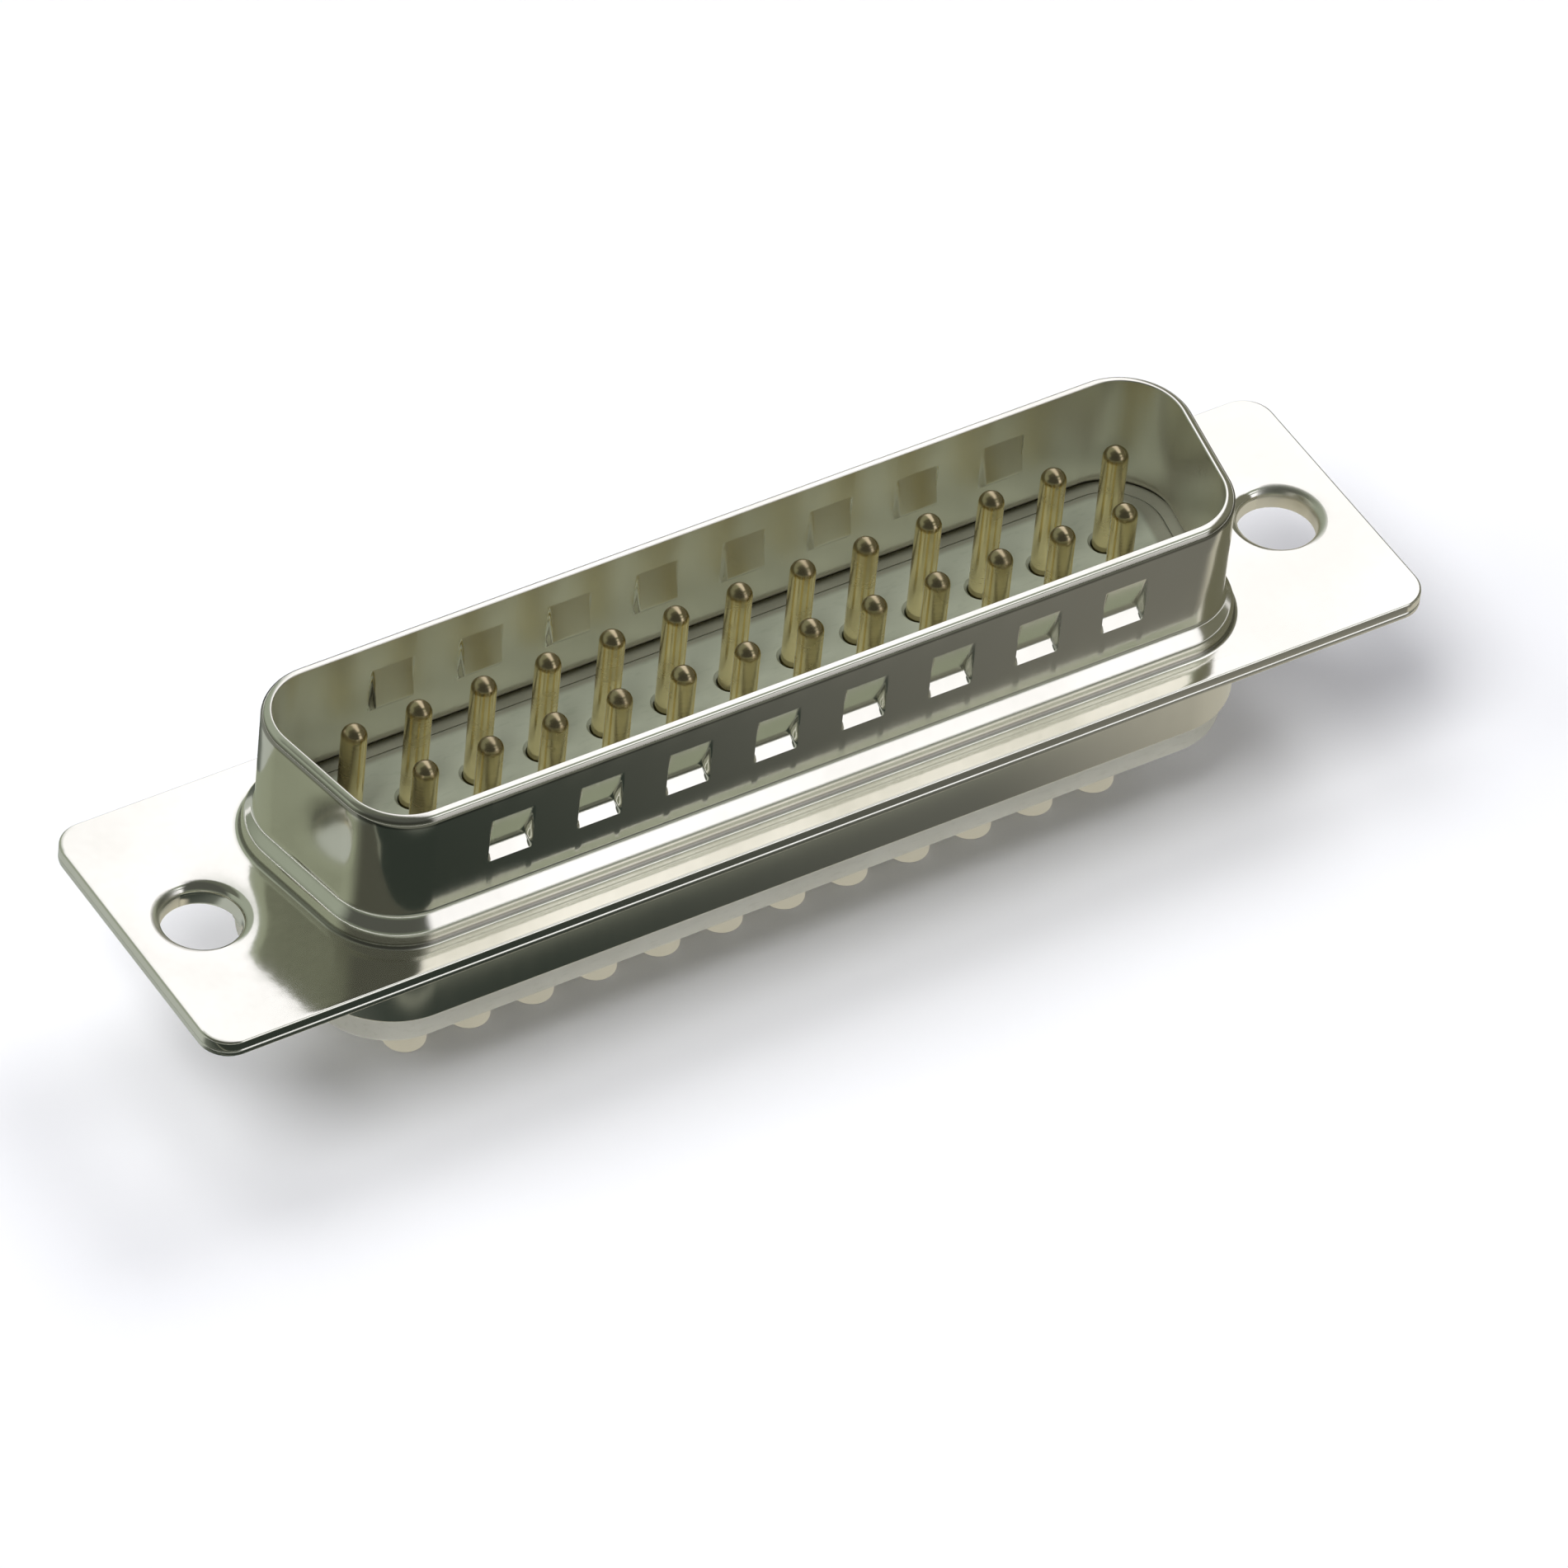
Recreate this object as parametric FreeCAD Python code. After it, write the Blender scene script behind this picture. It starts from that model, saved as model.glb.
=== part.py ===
import FreeCAD, Part
import math
import os

# A 25-way D-subminiature plug with crimp barrels, in millimetres.
# The mating side faces +Z. X runs along the connector, and +Y is the side of the longer pin row.
# The origin is midway between the two mounting holes, on the front face of the flange.

Vector = FreeCAD.Vector
UP = Vector(0, 0, 1)

# Contact field
WIDE_ROW_COUNT = 13
NARROW_ROW_COUNT = 12
PITCH = 2.76
ROW_GAP = 2.84
END_PIN_TO_D = 2.92

# Flanges of both shells
FLANGE_WIDTH = 12.55
FLANGE_CORNER_R = 1.2
FLANGE_EDGE_R = 0.08
HOLE_D = 3.05
HOLE_TO_D = 4.04
HOLE_TO_END = 3.0
FRONT_SHEET = 0.42
REAR_SHEET = 0.3

# Inside of the D-shaped mating shell
D_WIDTH = 8.36
D_CORNER_R = 2.3
D_SLANT_DEG = 10.0
SHELL_HEIGHT = 6.05
RIM_INNER_R = 0.05
RIM_LAND = 0.02

# Foot of the mating shell, where the sheet steps outward to trap the insulator
FOOT_STEP = 0.45
FOOT_TOP_Z = 1.14
FOOT_SHOULDER_Z = 0.63
NECK_BEND_R = 0.5
SHOULDER_BEND_R = 0.15
FOOT_BEND_R = 0.2
FOOT_LANDING = 0.15

# Dimples that grip the mating socket's shell
DIMPLE_COUNT = 8
DIMPLE_TO_D_END = 6.18
DIMPLE_WIDTH = 1.75
DIMPLE_TOP_Z = 4.78
DIMPLE_NOSE_Z = 3.12
DIMPLE_BOTTOM_Z = 2.68
DIMPLE_DEPTH = 0.35
DIMPLE_NOSE_R = 0.3

# Drawn collars round the mounting holes, flared over the rear shell
COLLAR_LEAD_R = 0.4
COLLAR_BACK_BEND_R = 0.1
COLLAR_FLARE_D = 4.7
COLLAR_FLARE_THICK = 0.3
COLLAR_FLARE_R = 0.2
COLLAR_FLARE_EDGE_R = 0.1
COLLAR_NECK_BEND_R = 0.05
COLLAR_LANDING = 0.3

# Rear shell: a shallow skirt drawn behind the flange, open at its end, from a blank with a rolled edge
BLANK_EDGE_R = 0.11
SKIRT_WIDTH = 10.72
SKIRT_DEPTH = 3.6
SKIRT_EDGE_R = 0.08
SKIRT_BEND_R = 0.2
SKIRT_LANDING = 0.15

# Moulded insulators
FACE_Z = 0.5
BLOCK_DEPTH = 5.0
BLOCK_FLARE = 0.25
BLOCK_EDGE_R = 0.2
FACE_EDGE_R = 0.15
FRONT_FIT = 0.18
SEAT_FIT = 0.05

# Contacts
PIN_D = 1.0
PIN_TIP_Z = 5.35
PIN_TIP_R = 0.45
CONTACT_COLLAR_D = 2.1
CONTACT_COLLAR_THICK = 1.0
BARREL_D = 1.7
BARREL_BORE_D = 1.12
BARREL_BORE_DEPTH = 4.4
BARREL_END_Z = -8.94
BARREL_LIP_R = 0.1
SIGHT_HOLE_D = 0.5
SIGHT_HOLE_UP = 3.4
PIN_FIT = 0.05
BARREL_FIT = 0.05
HOLE_LEAD = 0.12

# Closeness in millimetres within which two heights count as the same
NEAR = 0.001

# Sizes that follow: the D holds the wide row, the holes stand off the D, and the flange ends past them
D_LENGTH = (WIDE_ROW_COUNT - 1) * PITCH + 2 * END_PIN_TO_D
HOLE_SPACING = D_LENGTH + 2 * HOLE_TO_D
FLANGE_LENGTH = HOLE_SPACING + 2 * HOLE_TO_END
DIMPLE_PITCH = (D_LENGTH - 2 * DIMPLE_TO_D_END) / (DIMPLE_COUNT - 1)
RIM_OUTER_R = FRONT_SHEET - RIM_INNER_R - RIM_LAND
JOINT_Z = -FRONT_SHEET
PLATE_BACK = -FRONT_SHEET - REAR_SHEET
SKIRT_OUTSIDE = (SKIRT_WIDTH - D_WIDTH) / 2
SKIRT_INSIDE = SKIRT_OUTSIDE - REAR_SHEET
SLANT = math.radians(D_SLANT_DEG)
CENTRE_Y = D_WIDTH / 2 - D_CORNER_R
WIDE_X = D_LENGTH / 2 - D_CORNER_R
NARROW_X = WIDE_X - 2 * CENTRE_Y * math.tan(SLANT)
# Corner centre, and the angles in degrees where its arc starts and how far it turns
D_CORNERS = [
    (Vector(WIDE_X, CENTRE_Y, 0), -D_SLANT_DEG, 90 + D_SLANT_DEG),
    (Vector(-WIDE_X, CENTRE_Y, 0), 90, 90 + D_SLANT_DEG),
    (Vector(-NARROW_X, -CENTRE_Y, 0), 180 + D_SLANT_DEG, 90 - D_SLANT_DEG),
    (Vector(NARROW_X, -CENTRE_Y, 0), 270, 90 - D_SLANT_DEG),
]


def polar(angle_deg, radius):
    """The point at that angle and radius in the XY plane."""
    a = math.radians(angle_deg)
    return Vector(radius * math.cos(a), radius * math.sin(a), 0)


def fused(solids):
    """One solid from several that touch, with the seams between them removed."""
    return solids[0].multiFuse(solids[1:]).removeSplitter()


def d_prism(offset, z_low, z_high):
    """A prism of the D outline grown by offset, between two heights."""
    edges = []
    radius = D_CORNER_R + offset
    for i, (centre, start, turn) in enumerate(D_CORNERS):
        first, middle, last = (centre + polar(start + turn * k, radius) for k in (0, 0.5, 1))
        edges.append(Part.Arc(first, middle, last).toShape())
        next_centre, next_start, _ = D_CORNERS[(i + 1) % len(D_CORNERS)]
        edges.append(Part.LineSegment(last, next_centre + polar(next_start, radius)).toShape())
    face = Part.Face(Part.Wire(edges))
    face.translate(Vector(0, 0, z_low))
    return face.extrude(UP * (z_high - z_low))


def plate_prism(z_low, z_high):
    """A prism of the flange outline between two heights."""
    box = Part.makeBox(FLANGE_LENGTH, FLANGE_WIDTH, z_high - z_low,
                       Vector(-FLANGE_LENGTH / 2, -FLANGE_WIDTH / 2, z_low))
    upright = [e for e in box.Edges if e.BoundBox.ZLength > NEAR]
    return box.makeFillet(FLANGE_CORNER_R, upright)


def rounded_section(corners):
    """The closed face through corners of (offset, z, radius), each rounded by its own radius."""
    spots = [Vector(x, 0, z) for x, z, _ in corners]
    arcs = []
    for i, (_, _, radius) in enumerate(corners):
        corner = spots[i]
        into = (spots[i - 1] - corner).normalize()
        away = (spots[(i + 1) % len(spots)] - corner).normalize()
        half = into.getAngle(away) / 2
        reach = radius / math.tan(half)
        centre = corner + (into + away).normalize() * (radius / math.sin(half))
        middle = centre + (corner - centre).normalize() * radius if radius else corner
        arcs.append((corner + into * reach, middle, corner + away * reach))
    edges = []
    for (_, _, start), (first, middle, last) in zip(arcs[-1:] + arcs[:-1], arcs):
        edges.append(Part.LineSegment(start, first).toShape())
        if first != last:
            edges.append(Part.Arc(first, middle, last).toShape())
    return Part.Face(Part.Wire(edges))


def round_the_d(section):
    """Carries a section in (offset, z) round the D: turned at each corner, drawn along each side."""
    solids = []
    for i, (centre, start, turn) in enumerate(D_CORNERS):
        at_start = section.copy()
        at_start.translate(Vector(D_CORNER_R, 0, 0))
        at_start.rotate(Vector(0, 0, 0), UP, start)
        at_start.translate(centre)
        solids.append(at_start.revolve(centre, UP, turn))
        at_end = at_start.copy()
        at_end.rotate(centre, UP, turn)
        solids.append(at_end.extrude(D_CORNERS[(i + 1) % len(D_CORNERS)][0] - centre))
    return fused(solids)


def slope_drop(sheet):
    """How much lower the inner side of the foot's slope lies than its outer side."""
    rise = FOOT_TOP_Z - FOOT_SHOULDER_Z
    return sheet * (math.hypot(FOOT_STEP, rise) - rise) / FOOT_STEP


def foot_inside(gap):
    """Heights at which the foot's slope starts and ends on the inside, held back by a gap."""
    drop = slope_drop(FRONT_SHEET + gap)
    return FOOT_TOP_Z - drop, FOOT_SHOULDER_Z - drop


def mating_wall():
    """The D-shaped wall of the front shell with its stepped foot, and how far out its bend ends."""
    wide = FRONT_SHEET + FOOT_STEP
    landing = wide + FOOT_BEND_R + FOOT_LANDING
    inner_top_z, inner_shoulder_z = foot_inside(0)
    section = rounded_section([
        (landing, 0, 0),
        (wide, 0, FOOT_BEND_R),
        (wide, FOOT_SHOULDER_Z, SHOULDER_BEND_R + FRONT_SHEET),
        (FRONT_SHEET, FOOT_TOP_Z, NECK_BEND_R),
        (FRONT_SHEET, SHELL_HEIGHT, RIM_OUTER_R),
        (0, SHELL_HEIGHT, RIM_INNER_R),
        (0, inner_top_z, NECK_BEND_R + FRONT_SHEET),
        (FOOT_STEP, inner_shoulder_z, SHOULDER_BEND_R),
        (FOOT_STEP, JOINT_Z, FOOT_BEND_R + FRONT_SHEET),
        (landing, JOINT_Z, 0),
    ])
    return round_the_d(section), landing


def hole_collar(x):
    """The collar of a mounting hole, with its flare over the back, and how far out its lead ends."""
    bore_r = HOLE_D / 2
    tube_r = bore_r + FRONT_SHEET
    landing_r = tube_r + COLLAR_LEAD_R + COLLAR_LANDING
    flare_z = PLATE_BACK - COLLAR_FLARE_THICK
    section = rounded_section([
        (landing_r, 0, 0),
        (bore_r, 0, COLLAR_LEAD_R),
        (bore_r, flare_z, COLLAR_FLARE_R),
        (COLLAR_FLARE_D / 2, flare_z, COLLAR_FLARE_EDGE_R),
        (COLLAR_FLARE_D / 2, PLATE_BACK, 0),
        (tube_r, PLATE_BACK, COLLAR_NECK_BEND_R),
        (tube_r, JOINT_Z, COLLAR_BACK_BEND_R),
        (landing_r, JOINT_Z, 0),
    ])
    ring = section.revolve(Vector(0, 0, 0), UP, 360)
    ring.translate(Vector(x, 0, 0))
    return ring, landing_r


def dimple_punch(x, side, wall):
    """The wedge-nosed punch of one dimple, sunk into the wall plane at that distance from the axis."""
    back_y = wall + DIMPLE_DEPTH
    profile = rounded_section([
        (wall - DIMPLE_DEPTH, DIMPLE_NOSE_Z, DIMPLE_NOSE_R),
        (back_y, 2 * DIMPLE_TOP_Z - DIMPLE_NOSE_Z, 0),
        (back_y, 2 * DIMPLE_BOTTOM_Z - DIMPLE_NOSE_Z, 0),
    ])
    profile.rotate(Vector(0, 0, 0), UP, side * 90)
    profile.translate(Vector(x - DIMPLE_WIDTH / 2, 0, 0))
    return profile.extrude(Vector(DIMPLE_WIDTH, 0, 0))


def dimple_places():
    """The X positions of the dimples, spread about the middle."""
    return [(i - (DIMPLE_COUNT - 1) / 2) * DIMPLE_PITCH for i in range(DIMPLE_COUNT)]


def hole_places():
    """The X positions of the two mounting holes."""
    return -HOLE_SPACING / 2, HOLE_SPACING / 2


def rounded_rim(prism, z, radius):
    """A prism with the edges that lie at height z rounded."""
    rim = [e for e in prism.Edges if abs(e.BoundBox.ZMin - z) + abs(e.BoundBox.ZMax - z) < NEAR]
    return prism.makeFillet(radius, rim)


def front_shell():
    """Flange, stepped D-shaped wall with dimples, and flared hole collars, from one sheet."""
    wall, landing = mating_wall()
    plate = rounded_rim(plate_prism(JOINT_Z, 0), 0, FLANGE_EDGE_R)
    plate = plate.cut(d_prism(landing, JOINT_Z, 0))
    pieces = [plate, wall]
    for x in hole_places():
        collar, landing_r = hole_collar(x)
        opening = Part.makeCylinder(landing_r, FRONT_SHEET, Vector(x, 0, JOINT_Z))
        pieces[0] = pieces[0].cut(opening)
        pieces.append(collar)
    shell = fused(pieces)
    inner_wall, outer_wall = D_WIDTH / 2, D_WIDTH / 2 + FRONT_SHEET
    inside = d_prism(FRONT_SHEET / 2, 0, SHELL_HEIGHT)
    places = [(x, side) for side in (-1, 1) for x in dimple_places()]
    bumps = [dimple_punch(x, side, inner_wall).common(inside) for x, side in places]
    dents = [dimple_punch(x, side, outer_wall) for x, side in places]
    return shell.multiFuse(bumps).cut(Part.makeCompound(dents)).removeSplitter()


def rear_shell():
    """The second flange with the skirt that holds the rear insulator, drawn from one sheet."""
    landing = SKIRT_OUTSIDE + SKIRT_BEND_R + SKIRT_LANDING
    skirt = round_the_d(rounded_section([
        (landing, PLATE_BACK, 0),
        (SKIRT_OUTSIDE, PLATE_BACK, SKIRT_BEND_R),
        (SKIRT_OUTSIDE, -SKIRT_DEPTH, SKIRT_EDGE_R),
        (SKIRT_INSIDE, -SKIRT_DEPTH, SKIRT_EDGE_R),
        (SKIRT_INSIDE, JOINT_Z, SKIRT_BEND_R + REAR_SHEET),
        (landing, JOINT_Z, 0),
    ]))
    plate = plate_prism(PLATE_BACK, JOINT_Z)
    plate = rounded_rim(plate, PLATE_BACK, FLANGE_EDGE_R)
    plate = rounded_rim(plate, JOINT_Z, BLANK_EDGE_R)
    plate = plate.cut(d_prism(landing, PLATE_BACK, JOINT_Z))
    hole_r = HOLE_D / 2 + FRONT_SHEET + SEAT_FIT
    for x in hole_places():
        plate = plate.cut(Part.makeCylinder(hole_r, REAR_SHEET, Vector(x, 0, PLATE_BACK)))
    return fused([plate, skirt])


def contact_places():
    """Each contact's axis and the side it faces: the wide row left to right, then the narrow row."""
    rows = [(WIDE_ROW_COUNT, 1), (NARROW_ROW_COUNT, -1)]
    return [((i - (count - 1) / 2) * PITCH, side * ROW_GAP / 2, side)
            for count, side in rows for i in range(count)]


def cavities(radius, z_low, z_high):
    """A round cavity at every contact, between two heights."""
    return Part.makeCompound([Part.makeCylinder(radius, z_high - z_low, Vector(x, y, z_low))
                              for x, y, _ in contact_places()])


def front_insulator():
    """The moulding that fills the bottom of the mating shell, with a foot under the shell's step."""
    body = rounded_rim(d_prism(-FRONT_FIT, JOINT_Z, FACE_Z), FACE_Z, FACE_EDGE_R)
    _, foot_top = foot_inside(SEAT_FIT)
    foot = d_prism(FOOT_STEP - SEAT_FIT, JOINT_Z, foot_top)
    pin_r = PIN_D / 2 + PIN_FIT
    leads = [Part.makeCone(pin_r, pin_r + HOLE_LEAD, HOLE_LEAD, Vector(x, y, FACE_Z - HOLE_LEAD))
             for x, y, _ in contact_places()]
    block = fused([body, foot]).cut(cavities(pin_r, JOINT_Z, FACE_Z))
    return block.cut(Part.makeCompound(leads))


def rear_insulator():
    """The block in the rear skirt, flared at the top into the skirt's bend, with its cavities."""
    side = SKIRT_INSIDE - SEAT_FIT
    block = rounded_rim(d_prism(side, -BLOCK_DEPTH, JOINT_Z), -BLOCK_DEPTH, BLOCK_EDGE_R)
    flare = round_the_d(rounded_section([
        (0, JOINT_Z, 0),
        (side, JOINT_Z - BLOCK_FLARE, 0),
        (side + BLOCK_FLARE, JOINT_Z, 0),
    ]))
    pocket_z = JOINT_Z - CONTACT_COLLAR_THICK
    block = fused([block, flare])
    block = block.cut(cavities(CONTACT_COLLAR_D / 2 + BARREL_FIT, pocket_z, JOINT_Z))
    return block.cut(cavities(BARREL_D / 2 + BARREL_FIT, -BLOCK_DEPTH, pocket_z))


def contact():
    """One turned contact on the Z axis: round-nosed pin, collar and crimp barrel with its sight hole."""
    pin_r, collar_r, barrel_r = PIN_D / 2, CONTACT_COLLAR_D / 2, BARREL_D / 2
    collar_low = JOINT_Z - CONTACT_COLLAR_THICK
    body = rounded_section([
        (0, BARREL_END_Z, 0),
        (barrel_r, BARREL_END_Z, BARREL_LIP_R),
        (barrel_r, collar_low, 0),
        (collar_r, collar_low, 0),
        (collar_r, JOINT_Z, 0),
        (pin_r, JOINT_Z, 0),
        (pin_r, PIN_TIP_Z, PIN_TIP_R),
        (0, PIN_TIP_Z, 0),
    ]).revolve(Vector(0, 0, 0), UP, 360)
    bore = Part.makeCylinder(BARREL_BORE_D / 2, BARREL_BORE_DEPTH, Vector(0, 0, BARREL_END_Z))
    sight = Part.makeCylinder(SIGHT_HOLE_D / 2, BARREL_D, Vector(0, 0, BARREL_END_Z + SIGHT_HOLE_UP),
                              Vector(0, 1, 0))
    return body.cut(bore).cut(sight)


def placed_contact(x, y, side):
    """A contact moved to its place, with its sight hole turned away from the other row."""
    piece = contact()
    if side < 0:
        piece.rotate(Vector(0, 0, 0), UP, 180)
    piece.translate(Vector(x, y, 0))
    return piece


def build():
    nodes = {
        "front_shell": front_shell(),
        "rear_shell": rear_shell(),
        "front_insulator": front_insulator(),
        "rear_insulator": rear_insulator(),
    }
    for number, (x, y, side) in enumerate(contact_places(), start=1):
        nodes[f"contact_{number:02d}"] = placed_contact(x, y, side)
    return nodes


os.makedirs("parts", exist_ok=True)
for name, shape in build().items():
    if len(shape.Solids) != 1 or not shape.isValid():
        print("CHECK", name, "solids", len(shape.Solids), "valid", shape.isValid())
    shape.exportStep(f"parts/{name}.step")
    box = shape.BoundBox
    print(f"{name}: volume {shape.Volume:.3f} mm3, x {box.XMin:.2f} to {box.XMax:.2f},",
          f"y {box.YMin:.2f} to {box.YMax:.2f}, z {box.ZMin:.2f} to {box.ZMax:.2f}")
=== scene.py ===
# %% [markdown]
# A 25-way D-subminiature plug, dressed for its picture.
# The packed CAD model is the frame: every piece made here stands where its CAD node stands.
# The real plug is two drawn and plated steel shells, two moulded insulators and 25 turned
# contacts, so this lesson makes those pieces again with finer bends and finishes.
# The frame comes first, because each later piece is measured against it.

# %% Frame
import bpy
import bmesh
import math
from mathutils import Vector, Matrix
from mathutils.geometry import tessellate_polygon


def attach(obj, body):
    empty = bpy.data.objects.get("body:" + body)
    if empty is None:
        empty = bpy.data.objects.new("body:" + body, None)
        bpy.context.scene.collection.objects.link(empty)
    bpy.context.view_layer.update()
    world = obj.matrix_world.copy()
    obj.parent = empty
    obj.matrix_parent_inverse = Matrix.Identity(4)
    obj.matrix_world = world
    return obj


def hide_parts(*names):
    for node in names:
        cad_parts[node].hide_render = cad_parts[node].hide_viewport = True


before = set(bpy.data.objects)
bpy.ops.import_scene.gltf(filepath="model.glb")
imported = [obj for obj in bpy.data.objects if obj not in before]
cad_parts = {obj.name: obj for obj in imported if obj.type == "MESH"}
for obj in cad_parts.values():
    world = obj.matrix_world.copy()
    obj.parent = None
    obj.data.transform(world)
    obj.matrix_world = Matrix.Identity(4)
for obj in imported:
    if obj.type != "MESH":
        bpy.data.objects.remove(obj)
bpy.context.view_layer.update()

print("CAD nodes:", len(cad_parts))

# %% [markdown]
# The sizes are the plug's own, in millimetres, as its maker would write them on a drawing.
# They are the same values as in the CAD source, so a piece made from them meets its
# neighbours. A mesh is worked out in millimetres and becomes metres when it is finished.

# %% Sizes
MM = 0.001
PITCH, ROW_GAP = 2.76, 2.84
WIDE_ROW_COUNT, NARROW_ROW_COUNT = 13, 12
FLANGE_LENGTH, FLANGE_WIDTH, FLANGE_CORNER_R = 53.04, 12.55, 1.2
HOLE_SPACING, HOLE_D = 47.04, 3.05
FRONT_SHEET, REAR_SHEET = 0.42, 0.3
D_LENGTH, D_WIDTH, D_CORNER_R, D_SLANT = 38.96, 8.36, 2.3, math.radians(10)
SHELL_HEIGHT = 6.05
JOINT_Z = -FRONT_SHEET
PLATE_BACK = JOINT_Z - REAR_SHEET
BARREL_END_Z = -8.94
print("Flange", FLANGE_LENGTH, "by", FLANGE_WIDTH, "mm, floor at", BARREL_END_Z, "mm")

# %% [markdown]
# A drawn shell is one sheet section carried round a D. A column is one place on that path:
# the centre of the nearest corner and the outward direction there. Moving a column out by
# the corner radius and an offset gives a point of the wall, in a bend and on a side alike.

# %% Columns round an outline
def around(corners, arc_steps, side_stations):
    """Columns (centre x, centre y, direction x, direction y) round an outline with round corners."""
    columns = []
    for i, (x, y, start, turn) in enumerate(corners):
        for k in range(arc_steps + 1):
            a = start + turn * k / arc_steps
            columns.append((x, y, math.cos(a), math.sin(a)))
        next_x, next_y = corners[(i + 1) % len(corners)][:2]
        end = start + turn
        for t in side_stations(x, next_x):
            columns.append((x + (next_x - x) * t, y + (next_y - y) * t, math.cos(end), math.sin(end)))
    return columns


def d_corners():
    """The D's corner centres, with the direction in which each arc starts and how far it turns."""
    y = D_WIDTH / 2 - D_CORNER_R
    wide_x = D_LENGTH / 2 - D_CORNER_R
    narrow_x = wide_x - 2 * y * math.tan(D_SLANT)
    right = math.radians(90)
    return [(wide_x, y, -D_SLANT, right + D_SLANT), (-wide_x, y, right, right + D_SLANT),
            (-narrow_x, -y, 2 * right + D_SLANT, right - D_SLANT), (narrow_x, -y, 3 * right, right - D_SLANT)]


def plate_corners():
    """The flange's four corner centres, as for the D."""
    x, y = FLANGE_LENGTH / 2 - FLANGE_CORNER_R, FLANGE_WIDTH / 2 - FLANGE_CORNER_R
    right = math.radians(90)
    return [(x, y, 0, right), (-x, y, right, right), (-x, -y, 2 * right, right), (x, -y, 3 * right, right)]


def ring(x, y, steps):
    """Columns round a hole or a turned piece."""
    return [(x, y, math.cos(math.tau * k / steps), math.sin(math.tau * k / steps)) for k in range(steps)]


print("D corners:", [(round(x, 2), round(y, 2)) for x, y, _, _ in d_corners()])

# %% [markdown]
# The section of a bent sheet is a chain of corners, each rounded by its own radius.
# Blender could bevel them, but a bevel can't know a sheet's inner and outer radius apart,
# so each corner is turned into short chords here.

# %% Rounded section
def section(corners, bend_steps=6):
    """Points (offset, z) along the corners (offset, z, radius), with every radius drawn as chords."""
    spots = [Vector((x, z)) for x, z, _ in corners]
    points = [spots[0]]
    for before, corner, after, (_, _, radius) in zip(spots, spots[1:], spots[2:], corners[1:-1]):
        into, away = (before - corner).normalized(), (after - corner).normalized()
        half = into.angle(away) / 2
        if not radius:
            points.append(corner)
            continue
        centre = corner + (into + away).normalized() * radius / math.sin(half)
        first = corner + into * radius / math.tan(half) - centre
        turn = (math.pi - 2 * half) * (1 if into.x * away.y - into.y * away.x < 0 else -1)
        for k in range(bend_steps + 1):
            points.append(centre + Matrix.Rotation(turn * k / bend_steps, 2) @ first)
    return [tuple(p) for p in points + [spots[-1]]]


test_bend = section([(1, 0, 0), (0, 0, 0.5), (0, 1, 0)])
print("A bend of 0.5 mm has", len(test_bend), "points, its middle at", [round(v, 3) for v in test_bend[4]])

# %% [markdown]
# A closed piece is strips that go round an outline, and flat caps that fill what is left.
# Strips share their end points with caps, so welding close points makes one sealed skin.
# Its bends are shaded smooth, and a weighted normal keeps the flat faces truly flat.

# %% Skin
SHARP_FROM = math.radians(32)
WELD_GAP, SHORTEST_EDGE = 0.002 * MM, 0.0005 * MM


class Skin:
    """Strips and flat caps in millimetres that become one closed mesh."""

    def __init__(self):
        self.points, self.faces = [], []

    def strip(self, columns, rows, radius=0.0):
        """A band round the columns through the rows (offset, z). Gives its first and last loop."""
        base = len(self.points)
        count = len(columns)
        for offset, z in rows:
            for x, y, dx, dy in columns:
                self.points.append(Vector((x + dx * (radius + offset), y + dy * (radius + offset), z)))
        for i in range(len(rows) - 1):
            for j in range(count):
                a, b = base + i * count + j, base + i * count + (j + 1) % count
                self.faces.append((a, b, b + count, a + count))
        return self.points[base:base + count], self.points[-count:]

    def cap(self, *loops):
        """A flat face with an outer loop and holes."""
        base = len(self.points)
        flat = [[Vector((p.x, p.y, 0)) for p in loop] for loop in loops]
        for loop in loops:
            self.points.extend(loop)
        for triangle in tessellate_polygon(flat):
            self.faces.append(tuple(base + i for i in triangle))

    def take(self, mesh):
        """Adds a finished mesh, which is in metres."""
        base = len(self.points)
        self.points.extend(v.co / MM for v in mesh.vertices)
        self.faces.extend(tuple(base + i for i in p.vertices) for p in mesh.polygons)

    def piece(self, name):
        """Welds the skin, turns its faces outward and makes it an object."""
        mesh = bpy.data.meshes.new(name)
        mesh.from_pydata([p * MM for p in self.points], [], self.faces)
        bm = bmesh.new()
        bm.from_mesh(mesh)
        bmesh.ops.remove_doubles(bm, verts=bm.verts, dist=WELD_GAP)
        bmesh.ops.dissolve_degenerate(bm, edges=bm.edges, dist=SHORTEST_EDGE)
        bmesh.ops.recalc_face_normals(bm, faces=bm.faces)
        open_edges = sum(not e.is_manifold for e in bm.edges)
        bm.to_mesh(mesh)
        bm.free()
        mesh.shade_smooth()
        mesh.set_sharp_from_angle(angle=SHARP_FROM)
        obj = bpy.data.objects.new(name, mesh)
        bpy.context.scene.collection.objects.link(obj)
        print(name, "faces", len(mesh.polygons), "open edges", open_edges)
        return obj


def keep_flats(obj):
    """Weights the normals by face area, so that flats beside small bends stay flat."""
    finish = obj.modifiers.new("flat faces", "WEIGHTED_NORMAL")
    finish.keep_sharp = True
    return obj


# %% [markdown]
# Sums on node sockets read best as sums. One small class wraps a socket and overloads the
# plain operators, so that a material or a shape rule is written as an expression.
# Every other node comes from its one method, which sets a node's settings first and then
# the values or links of its sockets.

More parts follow.
